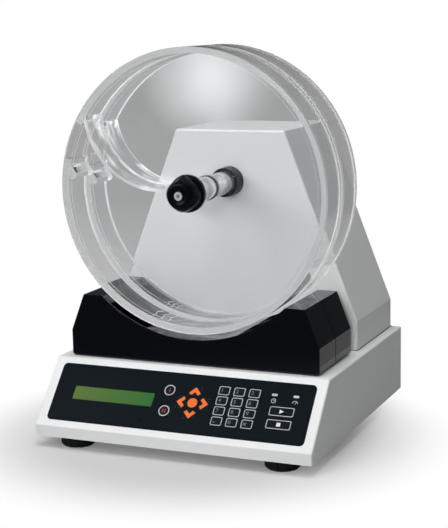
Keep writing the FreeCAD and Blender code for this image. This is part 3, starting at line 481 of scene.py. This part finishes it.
def acrylic(name, frosted_along_axis, highlight_streaked=False):
    """Clear sheet whose faces are polished and whose rims, or ends, are frosted."""
    finishes[name], tree, shader = new_material(name)
    shader.inputs["Transmission Weight"].default_value = 1.0
    shader.inputs["IOR"].default_value = acrylic_index
    shader.inputs["Specular Tint"].default_value = (*acrylic_mirror, 1)
    path = node(tree, "ShaderNodeLightPath")
    passing = maths(tree, "MAXIMUM", path.outputs["Is Shadow Ray"], path.outputs["Is Diffuse Ray"])
    tree.links.new(maths(tree, "SUBTRACT", 1.0, passing), shader.inputs["Alpha"])
    flat = node(tree, "ShaderNodeNewGeometry").outputs["True Normal"]
    along = maths(tree, "ABSOLUTE", component(tree, flat, "Y"))
    frosted = maths(tree, "GREATER_THAN" if frosted_along_axis else "LESS_THAN", along, 0.5)
    smudge = place_group(tree, smudge_group, faint_smudges)
    polish = maths(tree, "ADD", smudge, acrylic_polish, clamp=True)
    shine = maths(tree, "MULTIPLY_ADD", frosted, frosted_roughness)
    tree.links.new(polish, shine.node.inputs[2])
    tree.links.new(shine, shader.inputs["Roughness"])
    tree.links.new(mix(tree, frosted, acrylic_tint, frosted_tint), shader.inputs["Base Color"])
    # the frosted ends are given a painted glow
    glow = maths(tree, "MULTIPLY", frosted, frosted_painted_glow)
    # the baffles get painted highlight streaks, added to the glow
    if highlight_streaked:
        glow = maths(tree, "ADD", glow, maths(tree, "MULTIPLY", painted_highlight_streaks(tree), highlight_streak_glow))
    tree.links.new(glow, shader.inputs["Emission Color"])
    shader.inputs["Emission Strength"].default_value = 1.0


acrylic("acrylic_sheet", False)
acrylic("acrylic_tube", True)
acrylic("acrylic_baffle", True, highlight_streaked=True)
print("acrylic finishes", [name for name in finishes if name.startswith("acrylic")])

# %% [markdown]
# The display is a liquid crystal panel, lit green from behind and a little browner at its left end. A
# brick texture, turned to lie in the slope, stands for the grid of blank character cells.

# %% Display
panel_normal = -Vector(joint_named("press_1")["axis"]).normalized()
panel_up = panel_normal.cross(Vector((1, 0, 0)))
slope_angle = math.atan2(panel_up.z, panel_up.y)
green_left = (0.092, 0.142, 0.034)
green_middle = (0.060, 0.132, 0.032)
green_right = (0.028, 0.122, 0.029)
middle_share = 0.45
cell_width = 0.0052
cell_height = 0.0068
cell_gap = 0.0003
cell_shades = (0.94, 0.97)
display_glow = 0.25
display_roughness = 0.18


def display_green(tree, share):
    made = node(tree, "ShaderNodeValToRGB", {"Fac": share})
    stops = made.color_ramp.elements
    for stop, place, colour in [(stops[0], 0.0, green_left), (stops[1], 1.0, green_right)]:
        stop.position = place
        stop.color = (*colour, 1)
    stops.new(middle_share).color = (*green_middle, 1)
    return made.outputs["Color"]


def display_material():
    finishes["display"], tree, shader = new_material("display")
    low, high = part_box("lcd_module")
    place = object_place(tree)
    green = display_green(tree, map_range(tree, component(tree, place, "X"), low.x, high.x))
    turned = node(tree, "ShaderNodeMapping", {"Vector": place, "Rotation": (-slope_angle, 0, 0),
                                              "Location": (-low.x, 0, 0)})
    cells = node(tree, "ShaderNodeTexBrick", {"Vector": turned.outputs[0], "Scale": 1.0,
                                              "Brick Width": cell_width, "Row Height": cell_height,
                                              "Mortar Size": cell_gap, "Mortar": (*white, 1),
                                              "Color1": (*grey(cell_shades[0]), 1),
                                              "Color2": (*grey(cell_shades[1]), 1)}, offset=0.0)
    shown = mix(tree, 1.0, green, cells.outputs["Color"], blend_type="MULTIPLY")
    tree.links.new(shown, shader.inputs["Base Color"])
    tree.links.new(shown, shader.inputs["Emission Color"])
    shader.inputs["Emission Strength"].default_value = display_glow
    smudge = place_group(tree, smudge_group, {"Scale": 30.0, "Amount": 0.06})
    tree.links.new(maths(tree, "ADD", smudge, display_roughness, clamp=True), shader.inputs["Roughness"])


display_material()
print("display lies at", round(math.degrees(slope_angle), 1), "degrees")

# %% [markdown]
# Each CAD node keeps its shape and gets the finish that its material slot names. Only the acrylic needs
# more than its slot says: the tube's ends are frosted, and on the flat discs it is the rim.

# %% Dress the CAD nodes
own_finish = {"front_drum_wall": "acrylic_tube", "rear_drum_wall": "acrylic_tube",
              "front_drum_baffle": "acrylic_baffle", "rear_drum_baffle": "acrylic_baffle"}
for subpart in frame["record"]["subparts"]:
    name = subpart["node"]
    wanted = own_finish.get(name, subpart["material_slot"].replace("clear_acrylic", "acrylic_sheet"))
    nodes[name].data.materials.clear()
    nodes[name].data.materials.append(finishes[wanted])
print("dressed", len(nodes), "nodes with", len(finishes), "finishes")

# %% [markdown]
# Flat marks such as digits and key outlines are printed on the film. A 2D curve is the easy way to make
# them, because it fills an outline and leaves its inner loops open. It is turned into a mesh, laid on the
# key and rides on that key's body, so that it moves when the key is pressed.

# %% Flat pieces on the panel
ink_thickness = 0.06 * MM
ink_lift = 0.01 * MM


def circle(radius, count=48, x=0.0, y=0.0, start=0.0, end=360.0):
    steps = count if end - start >= 360 else count + 1
    angles = [math.radians(start + (end - start) * step / count) for step in range(steps)]
    return [(x + radius * math.cos(angle), y + radius * math.sin(angle)) for angle in angles]


def rounded_box(width, height, corner, x=0.0, y=0.0):
    loop = []
    for sign_x, sign_y, start in [(1, 1, 0), (-1, 1, 90), (-1, -1, 180), (1, -1, 270)]:
        loop += circle(corner, 6, x + sign_x * (width / 2 - corner), y + sign_y * (height / 2 - corner),
                       start, start + 90)
    return loop


def panel_place(point, lift=ink_lift):
    """A frame on the panel: X across, Y up the slope, Z out of it, at a point in the row frame."""
    turn = Matrix((Vector((1, 0, 0)), panel_up, panel_normal)).transposed().to_4x4()
    return Matrix.Translation(Vector(point) + panel_normal * lift) @ turn


def put_piece(name, mesh, body):
    """Show a mesh as a piece that rides on a body."""
    piece = bpy.data.objects.new(name, mesh)
    scene.collection.objects.link(piece)
    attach(piece, body)
    return piece


def as_mesh(source, name, place, body, finish_name):
    """Turn a curve or text object into a mesh piece, in place, riding on a body."""
    scene.collection.objects.link(source)
    bpy.context.view_layer.update()
    mesh = bpy.data.meshes.new_from_object(source.evaluated_get(bpy.context.evaluated_depsgraph_get()))
    bpy.data.objects.remove(source)
    mesh.name = name
    mesh.transform(place)
    mesh.materials.clear()
    mesh.materials.append(finishes[finish_name])
    return put_piece(name, mesh, body)


def flat_piece(name, loops, place, body, finish_name, thickness=ink_thickness):
    curve = bpy.data.curves.new(name, "CURVE")
    curve.dimensions = "2D"
    curve.fill_mode = "BOTH"
    curve.extrude = thickness / 2
    for loop in loops:
        spline = curve.splines.new("POLY")
        spline.points.add(len(loop) - 1)
        for point, (x, y) in zip(spline.points, loop):
            point.co = (x, y, 0, 1)
        spline.use_cyclic_u = True
    source = bpy.data.objects.new(name + "_outline", curve)
    return as_mesh(source, name, place, body, finish_name)


# %% [markdown]
# Each number key has a thin silver outline near its edge and a dim figure at its left. The last two are a
# point, and a small cross that clears the entry. The middle of a key's face is read from the CAD node.

# %% Number keys
outline_inset = 0.15 * MM
outline_width = 0.75 * MM
outline_corner = 1.9 * MM
inner_corner = outline_corner - outline_width * 0.7
figure_size = 6.2 * MM
figure_shift = -2.4 * MM
point_radius = 0.8 * MM
point_drop = -1.2 * MM
cross_reach = 2.4 * MM
cross_width = 0.4 * MM


def key_face(key):
    """The middle of a key's face and its width and height, read from the CAD node."""
    low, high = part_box(key)
    corners = [Vector(vertex.co) for vertex in nodes[key].data.vertices]
    heights = [corner.dot(panel_normal) for corner in corners]
    ups = [corner.dot(panel_up) for corner in corners]
    middle = (low + high) / 2
    lift = max(heights) - middle.dot(panel_normal)
    return middle + panel_normal * lift, high.x - low.x, max(ups) - min(ups)


def key_mark(name, loops, key, finish_name):
    """A flat mark on the middle of a key's face."""
    return flat_piece(name, loops, panel_place(key_face(key)[0]), key, finish_name)


def key_outline(key):
    width, height = [size - 2 * outline_inset for size in key_face(key)[1:]]
    loops = [rounded_box(width, height, outline_corner),
             rounded_box(width - 2 * outline_width, height - 2 * outline_width, inner_corner)]
    return key_mark("outline_" + key, loops, key, "silver_ink")


def key_figure(key, text):
    curve = bpy.data.curves.new("figure_" + key, "FONT")
    curve.body = text
    curve.size = figure_size
    curve.extrude = ink_thickness / 2
    curve.align_x = "CENTER"
    curve.align_y = "CENTER"
    place = panel_place(key_face(key)[0]) @ Matrix.Translation((figure_shift, 0, 0))
    source = bpy.data.objects.new("figure_source_" + key, curve)
    return as_mesh(source, "figure_" + key, place, key, "dim_ink")


def cross_loop(reach, width):
    """A diagonal cross with square ends."""
    loop = []
    for quarter in range(4):
        turn = math.radians(45 + 90 * quarter)
        for along, across in [(width, width), (reach, width), (reach, -width)]:
            loop.append((along * math.cos(turn) + across * math.sin(turn),
                         along * math.sin(turn) - across * math.cos(turn)))
    return loop


figures = []
for digit in "1234567890":
    key_outline("key_" + digit)
    figures.append(key_figure("key_" + digit, digit))
key_outline("key_point")
key_outline("key_clear")
cross = [(x + figure_shift, y) for x, y in cross_loop(cross_reach, cross_width)]
for key, loop in [("key_point", circle(point_radius, 16, figure_shift, point_drop)), ("key_clear", cross)]:
    figures.append(key_mark("figure_" + key, [loop], key, "dim_ink"))
print("figures on the number keys", len(figures))

# %% [markdown]
# The two function keys are round. Each has a silver ring, and one or two red bars tell them apart.

# %% Function keys
ring_inset = 0.1 * MM
ring_width = 1.1 * MM
bar_size = (1.1 * MM, 4.4 * MM, 0.4 * MM)
bar_pitch = 2.6 * MM
for count, key in [(1, "key_f1"), (2, "key_f2")]:
    rim = key_face(key)[1] / 2 - ring_inset
    key_mark("ring_" + key, [circle(rim), circle(rim - ring_width)], key, "silver_ink")
    for bar in range(count):
        shift = (bar - (count - 1) / 2) * bar_pitch
        key_mark(f"bar_{key}_{bar}", [rounded_box(*bar_size, shift)], key, "red_ink")
print("function key rings", round(rim / MM, 2), "mm in radius")

# %% [markdown]
# The four arrow keys show an orange chevron that points away from the round confirm key. The start key
# has a triangle and the stop key a square, both white, inside a wide silver outline.

# %% Arrow, start and stop marks
chevron_reach = 6.6 * MM
chevron_depth = 7.0 * MM
chevron_width = 3.8 * MM
foot_in = chevron_width * 0.8
foot_down = chevron_width * 0.6


def chevron_loop(heading):
    """A bent bar whose point lies towards the heading, in degrees."""
    slant = chevron_width * math.hypot(chevron_reach, chevron_depth) / chevron_reach
    foot = (chevron_reach - foot_in, -chevron_depth - foot_down)
    points = [(0, 0), (chevron_reach, -chevron_depth), foot, (0, -slant), (-foot[0], foot[1]),
              (-chevron_reach, -chevron_depth)]
    lift = (chevron_depth + foot_down) / 2
    turn = math.radians(heading - 90)
    return [(x * math.cos(turn) - (y + lift) * math.sin(turn),
             x * math.sin(turn) + (y + lift) * math.cos(turn)) for x, y in points]


for key, heading in [("key_up", 90), ("key_left", 180), ("key_down", 270), ("key_right", 0)]:
    key_mark("arrow_" + key, [chevron_loop(heading)], key, "orange_ink")

triangle = [(2.6 * MM, 0), (-2.2 * MM, 2.3 * MM), (-2.2 * MM, -2.3 * MM)]
square = [(-2.1 * MM, -2.1 * MM), (2.1 * MM, -2.1 * MM), (2.1 * MM, 2.1 * MM), (-2.1 * MM, 2.1 * MM)]
for key, mark in [("key_start", triangle), ("key_stop", square)]:
    key_outline(key)
    key_mark("mark_" + key, [mark], key, "white_ink")
arrow_span = max(abs(value) for point in chevron_loop(90) for value in point)
half_key = key_face("key_up")[1] / 2
print("arrow reaches", round(arrow_span / MM, 2), "mm, its key", round(half_key / MM, 2), "mm")

# %% [markdown]
# Below the two lamps stand a small clock and a small gauge, for the time and the speed. They are printed
# on the film, so they are flat pieces too, placed by their distance from the middle of the overlay.

# %% Clock and gauge
overlay_low, overlay_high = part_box("keypad_overlay")
icon_line = 0.45 * MM
half_line = icon_line / 2
clock_radius = 2.6 * MM
clock_spot = (102.9 * MM, 12.3 * MM)
gauge_radius = 3.2 * MM
gauge_spot = (126.1 * MM, 10.8 * MM)
gauge_arc = (10, 170)


def overlay_place(x, up):
    """A place on the film, from the middle of the overlay: X across, up along the slope."""
    middle = (overlay_low + overlay_high) / 2
    heights = [Vector(vertex.co).dot(panel_normal) for vertex in nodes["keypad_overlay"].data.vertices]
    surface = max(heights) - middle.dot(panel_normal)
    return panel_place(middle + Vector((x, 0, 0)) + panel_up * up, surface + ink_lift)


rim = [circle(clock_radius, 32), circle(clock_radius - icon_line, 32)]
hands = [(-half_line, -half_line), (1.5 * MM, -half_line), (1.5 * MM, half_line), (half_line, half_line),
         (half_line, 1.8 * MM), (-half_line, 1.8 * MM)]
outer, inner = [circle(radius, 24, 0, 0, *gauge_arc) for radius in (gauge_radius, gauge_radius - icon_line)]
needle = [(-icon_line * 0.8, 0), (icon_line * 0.8, 0), (2.0 * MM, 2.2 * MM)]
for name, loops, spot in [("clock_rim", rim, clock_spot), ("clock_hands", [hands], clock_spot),
                          ("gauge_arc", [outer + inner[::-1]], gauge_spot),
                          ("gauge_needle", [needle], gauge_spot)]:
    flat_piece(name, loops, overlay_place(*spot), "housing", "white_ink")
print("clock and gauge are", round((gauge_spot[0] - clock_spot[0]) / MM, 1), "mm apart")

# %% [markdown]
# The knob is one moulding: a smooth nose that widens into four soft lobes, a small index nib at the top,
# which shows that the quarter turn lock is closed, and a round flange behind. The CAD solid has six crisp
# scallops, cut with plain cylinders. Here the body is drawn as rings of points whose radius swells and
# dips. Each row below is a ring: how far it lies behind the front, its radius, how deep the lobes dip and
# how far the nib stands out, in millimetres.

# %% Knob
knob_low, knob_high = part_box("knob_grip")
knob_rings = [(0.0, 4.9, 0.0, 0.0), (0.0, 11.0, 0.0, 0.0), (0.35, 12.3, 0.0, 0.0), (1.2, 13.5, 0.1, 0.0),
              (3.0, 14.9, 0.3, 0.1), (5.5, 16.4, 0.7, 0.6), (8.0, 17.6, 1.1, 1.6), (10.5, 18.4, 1.5, 2.4),
              (13.0, 18.9, 1.9, 2.6), (15.5, 19.0, 2.2, 2.0), (17.3, 18.8, 2.3, 1.0), (18.4, 18.2, 2.2, 0.3),
              (18.8, 17.0, 1.2, 0.0), (19.0, 18.6, 0.0, 0.0), (19.5, 19.4, 0.0, 0.0), (20.5, 19.7, 0.0, 0.0),
              (25.2, 19.7, 0.0, 0.0), (26.0, 19.2, 0.0, 0.0), (26.3, 18.0, 0.0, 0.0), (26.3, 6.4, 0.0, 0.0)]
knob_sides = 96
lobe_count = 4
lobe_turn = math.radians(83)
valley_softness = 0.02
nib_turn = math.radians(92)
nib_width = math.radians(8)


def round_the_circle(sides):
    return [2 * math.pi * side / sides for side in range(sides)]


def skin_rings(name, rings, finish_name, closed):
    """A mesh of quads between rings of points: a closed sleeve, or a rod with a cap on each end."""
    shape = bmesh.new()
    loops = [[shape.verts.new(point) for point in ring] for ring in rings]
    for before, after in zip(loops, loops[1:] + loops[:1] if closed else loops[1:]):
        for side in range(len(before)):
            following = (side + 1) % len(before)
            shape.faces.new((before[side], before[following], after[following], after[side]))
    if not closed:
        shape.faces.new(loops[0][::-1])
        shape.faces.new(loops[-1])
    bmesh.ops.recalc_face_normals(shape, faces=shape.faces)
    mesh = bpy.data.meshes.new(name)
    shape.to_mesh(mesh)
    shape.free()
    mesh.materials.append(finishes[finish_name])
    return mesh


def knob_radius(radius, dip, nib, angle):
    valley = math.sqrt(math.sin(lobe_count * (angle - lobe_turn) / 2) ** 2 + valley_softness)
    away = (angle - nib_turn + math.pi) % (2 * math.pi) - math.pi
    return (radius - dip * valley + nib * math.exp(-(away / nib_width) ** 2)) * MM


def knob_body():
    rings = []
    for setback, radius, dip, nib in knob_rings:
        ring = []
        for angle in round_the_circle(knob_sides):
            reach = knob_radius(radius, dip, nib, angle)
            ring.append((reach * math.cos(angle), knob_low.y + setback * MM,
                         axis_height + reach * math.sin(angle)))
        rings.append(ring)
    mesh = skin_rings("knob_body", rings, "knob_plastic", closed=True)
    for face in mesh.polygons:
        face.use_smooth = True
    piece = put_piece("knob_body", mesh, "knob")
    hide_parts("knob_grip")
    return piece


knob = knob_body()
print("knob body", len(knob.data.polygons), "faces, depth", round(knob_high.y - knob_low.y, 4))

# %% [markdown]
# The wall of each drum is bent from a strip of clear sheet, and its ends are cemented together. The
# cement shows as three short wavy white lines on the inside of the wall; their white colour carries a
# painted glow as well. A bevelled curve makes a line of round section.

# %% Cemented seams
drum_inner_radius = 143.4 * MM
seam_thickness = 0.55 * MM
seam_points = 25
seam_waves = 1.25
seam_swing = math.radians(0.55)
seam_rows = [("front_drum", (-110.5, -107.0, -103.5), -0.0840, -0.0590),
             ("rear_drum", (-113.0, -110.6, -108.2), -0.0335, -0.0160)]


def seam_line(name, angle, low_y, high_y, body):
    curve = bpy.data.curves.new(name, "CURVE")
    curve.dimensions = "3D"
    curve.bevel_depth = seam_thickness / 2
    curve.bevel_resolution = 1
    curve.use_fill_caps = True
    spline = curve.splines.new("POLY")
    spline.points.add(seam_points - 1)
    for step, point in enumerate(spline.points):
        share = step / (seam_points - 1)
        turn = math.radians(angle) + seam_swing * math.sin(2 * math.pi * seam_waves * share)
        point.co = (drum_inner_radius * math.cos(turn), low_y + (high_y - low_y) * share,
                    axis_height + drum_inner_radius * math.sin(turn), 1)
    source = bpy.data.objects.new(name + "_path", curve)
    return as_mesh(source, name, Matrix.Identity(4), body, "white_cement_painted_glow")


seams = [seam_line(f"{body}_seam_{line}", angle, low_y, high_y, body)
         for body, angles, low_y, high_y in seam_rows for line, angle in enumerate(angles)]
print("seam lines", len(seams))

# %% [markdown]
# The tower stands on the deck with a thin dark seal under its foot, which shows as a fine line all round.

# %% Seal under the tower
seal_width = 0.7 * MM
seal_height = 0.5 * MM
seal_corners = (1.4 * MM, 0.8 * MM)
tower_low, tower_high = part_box("tower_cover")
tower_size = tower_high - tower_low
seal_place = Matrix.Translation(((tower_low.x + tower_high.x) / 2, (tower_low.y + tower_high.y) / 2,
                                 tower_low.z + seal_height / 2))
seal_loops = [rounded_box(tower_size.x + out, tower_size.y + out, corner)
              for out, corner in zip((2 * seal_width, -2 * seal_width), seal_corners)]
flat_piece("tower_seal", seal_loops, seal_place, "housing", "seam_rubber", seal_height)
print("seal round a foot of", round(tower_size.x, 4), "by", round(tower_size.y, 4))

# %% [markdown]
# On the rear wall two screws hold the mains inlet, and two threaded posts stand beside the serial port.
# Both are turned parts, so one function spins a profile round an axis that points backwards. A profile is
# a list of radius and height, in millimetres. The port's face is a black plate with nine contact holes, a
# flat piece like the marks on the keys.

# %% Screws and posts at the rear
rear_turn = Matrix(((-1, 0, 0), (0, 0, 1), (0, 1, 0))).transposed().to_4x4()
inlet_low, inlet_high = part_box("mains_inlet")
port_low, port_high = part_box("serial_port")
wall_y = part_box("base_housing")[1].y
line_z = (inlet_low.z + inlet_high.z) / 2
inlet_x = (inlet_low.x + inlet_high.x) / 2
port_x = (port_low.x + port_high.x) / 2
screw_reach = 20 * MM
screw_head = [(2.9, -0.4), (2.9, 0.25), (2.6, 0.8), (1.9, 1.25), (1.15, 1.4), (1.15, 0.5)]
post_reach = 12.5 * MM
post_seat = 1.2 * MM
post_profile = [(2.3, -0.3), (2.3, 3.1), (1.9, 3.4), (1.3, 3.4), (1.3, 1.2)]


def rear_place(x, y, z):
    """A frame on the rear wall as seen from behind: X to the right, Y up, Z out of the wall."""
    return Matrix.Translation((x, y, z)) @ rear_turn


def turned_piece(name, profile, place, slot_name, sides=28):
    rings = [[(radius * MM * math.cos(angle), radius * MM * math.sin(angle), height * MM)
              for angle in round_the_circle(sides)] for radius, height in profile]
    mesh = skin_rings(name, rings, slot_name, closed=False)
    mesh.transform(place)
    return put_piece(name, mesh, "housing")


for side, label in [(-1, "left"), (1, "right")]:
    screw_place = rear_place(inlet_x + side * screw_reach, inlet_high.y, line_z)
    turned_piece("inlet_screw_" + label, screw_head, screw_place, "screw_steel")
    post_place = rear_place(port_x + side * post_reach, wall_y + post_seat, line_z)
    turned_piece("port_post_" + label, post_profile, post_place, "plated_steel", sides=6)

port_thickness = 0.3 * MM
port_face = [(7.5 * MM, 3.4 * MM), (-7.5 * MM, 3.4 * MM), (-6.1 * MM, -3.4 * MM), (6.1 * MM, -3.4 * MM)]
contact_radius = 0.6 * MM
contact_pitch = 2.77 * MM
contact_row = 1.42 * MM
contact_holes = [circle(contact_radius, 14, (step - middle) * contact_pitch, height)
                 for count, middle, height in [(5, 2, contact_row), (4, 1.5, -contact_row)]
                 for step in range(count)]
flat_piece("port_face", [port_face] + contact_holes, rear_place(port_x, port_high.y, line_z), "housing",
           "black_plastic", port_thickness)
print("rear wall pieces at height", round(line_z, 4), "contact holes", len(contact_holes))

# %% [markdown]
# The rocker carries the usual two marks, a bar for on and a ring for off, one on each sloping half of its
# face. They ride on the rocker, so they tip with it.

# %% Rocker marks
rocker_pivot = Vector(joint_named("mains_switch")["pos_m"])
rocker_rest = Matrix.Rotation(math.radians(-8), 4, "X")
half_slope = math.atan2(1.0, 7.4)
half_out = 4.5 * MM
half_up = 4.1 * MM
mark_line = 0.6 * MM
mark_thickness = 0.2 * MM
on_height = 3.4 * MM
off_radius = 1.7 * MM


def rocker_place(side):
    """A frame on the upper (1) or lower (-1) half of the rocker's face."""
    spot = Matrix.Translation((0, half_out, side * half_up))
    tip = Matrix.Rotation(-half_slope * side, 4, "X")
    return Matrix.Translation(rocker_pivot) @ rocker_rest @ spot @ tip @ rear_turn


on_loops = [rounded_box(mark_line, on_height, mark_line * 0.4)]
off_loops = [circle(off_radius, 32), circle(off_radius - mark_line, 32)]
for name, loops, side in [("mark_on", on_loops, -1), ("mark_off", off_loops, 1)]:
    flat_piece(name, loops, rocker_place(side), "mains_rocker", "white_ink",
               mark_thickness)
print("rocker halves slope", round(math.degrees(half_slope), 1), "degrees")

# %% [markdown]
# The machine stands on a pale sheet. Where the camera sees it, a little of its own light is added, so
# that it reads as paper and the shadow stays. Away from the machine the sheet fades into the white behind
# it, or, seen through the drums, into the grey backdrop, so that no horizon shows. In mirrors it ends in
# a dark room. It is stage, not object.

# %% Floor
floor_reach = 2.5
floor_colour = grey(0.48)
floor_lift = 0.15
fade_middle = (-0.01, -0.06, 0)
plinth_radius = 0.14
fade_radius = 0.29
backdrop_low = grey(0.49)
backdrop_near = 0.4
backdrop_far = 2.0
room_floor = grey(0.05)
mirror_middle = (0.20, 0.30, 0)
mirror_near = 0.50
mirror_far = 0.85


def floor_mesh():
    mesh = bpy.data.meshes.new("floor")
    shape = bmesh.new()
    shape.faces.new([shape.verts.new((x * floor_reach, y * floor_reach, 0))
                     for x, y in [(-1, -1), (1, -1), (1, 1), (-1, 1)]])
    shape.to_mesh(mesh)
    shape.free()
    return mesh


def floor_material():
    material, tree, shader = new_material("floor_sheet")
    paper = place_group(tree, smudge_group, {"Scale": 3.0, "Amount": 1.0})
    tree.links.new(tinted(tree, floor_colour, paper, 0.01), shader.inputs["Base Color"])
    shader.inputs["Roughness"].default_value = 0.9
    shader.inputs["Specular IOR Level"].default_value = 0.1
    path = node(tree, "ShaderNodeLightPath")
    by_camera, through, mirrored = [path.outputs[ray] for ray in
                                    ("Is Camera Ray", "Is Transmission Ray", "Is Glossy Ray")]
    tree.links.new(maths(tree, "MULTIPLY", by_camera, floor_lift), shader.inputs["Emission Strength"])
    shader.inputs["Emission Color"].default_value = (*white, 1)
    reach = distance(tree, object_place(tree), fade_middle)
    aside = distance(tree, object_place(tree), mirror_middle)
    faded = map_range(tree, reach, plinth_radius, fade_radius, interpolation_type="SMOOTHSTEP")
    far_off = map_range(tree, aside, mirror_near, mirror_far, interpolation_type="SMOOTHSTEP")
    behind = mix(tree, map_range(tree, reach, backdrop_near, backdrop_far), backdrop_low, backdrop_grey)
    beyond = mix(tree, by_camera, mix(tree, through, room_floor, behind), white)
    paper_end = node(tree, "ShaderNodeEmission", {"Color": beyond})
    seen_end = maths(tree, "MAXIMUM",
                     maths(tree, "MULTIPLY", faded, maths(tree, "MAXIMUM", by_camera, through)),
                     maths(tree, "MULTIPLY", far_off, mirrored))
    both = node(tree, "ShaderNodeMixShader",
                {0: seen_end, 1: shader.outputs["BSDF"], 2: paper_end.outputs[0]})
    tree.links.new(both.outputs[0], tree.nodes["Material Output"].inputs["Surface"])
    return material


floor = bpy.data.objects.new("floor", floor_mesh())
scene.collection.objects.link(floor)
floor.data.materials.append(floor_material())
print("floor", 2 * floor_reach, "m wide")

# %% [markdown]
# Light crosses several sheets of acrylic, with two faces each, on its way through both drums. The
# renderer gives up after a number of faces and shows black, so it may pass more of them than usual.

# %% Bounces
scene.cycles.max_bounces = 28
scene.cycles.transmission_bounces = 28
scene.cycles.transparent_max_bounces = 48
print("bounces", scene.cycles.max_bounces)
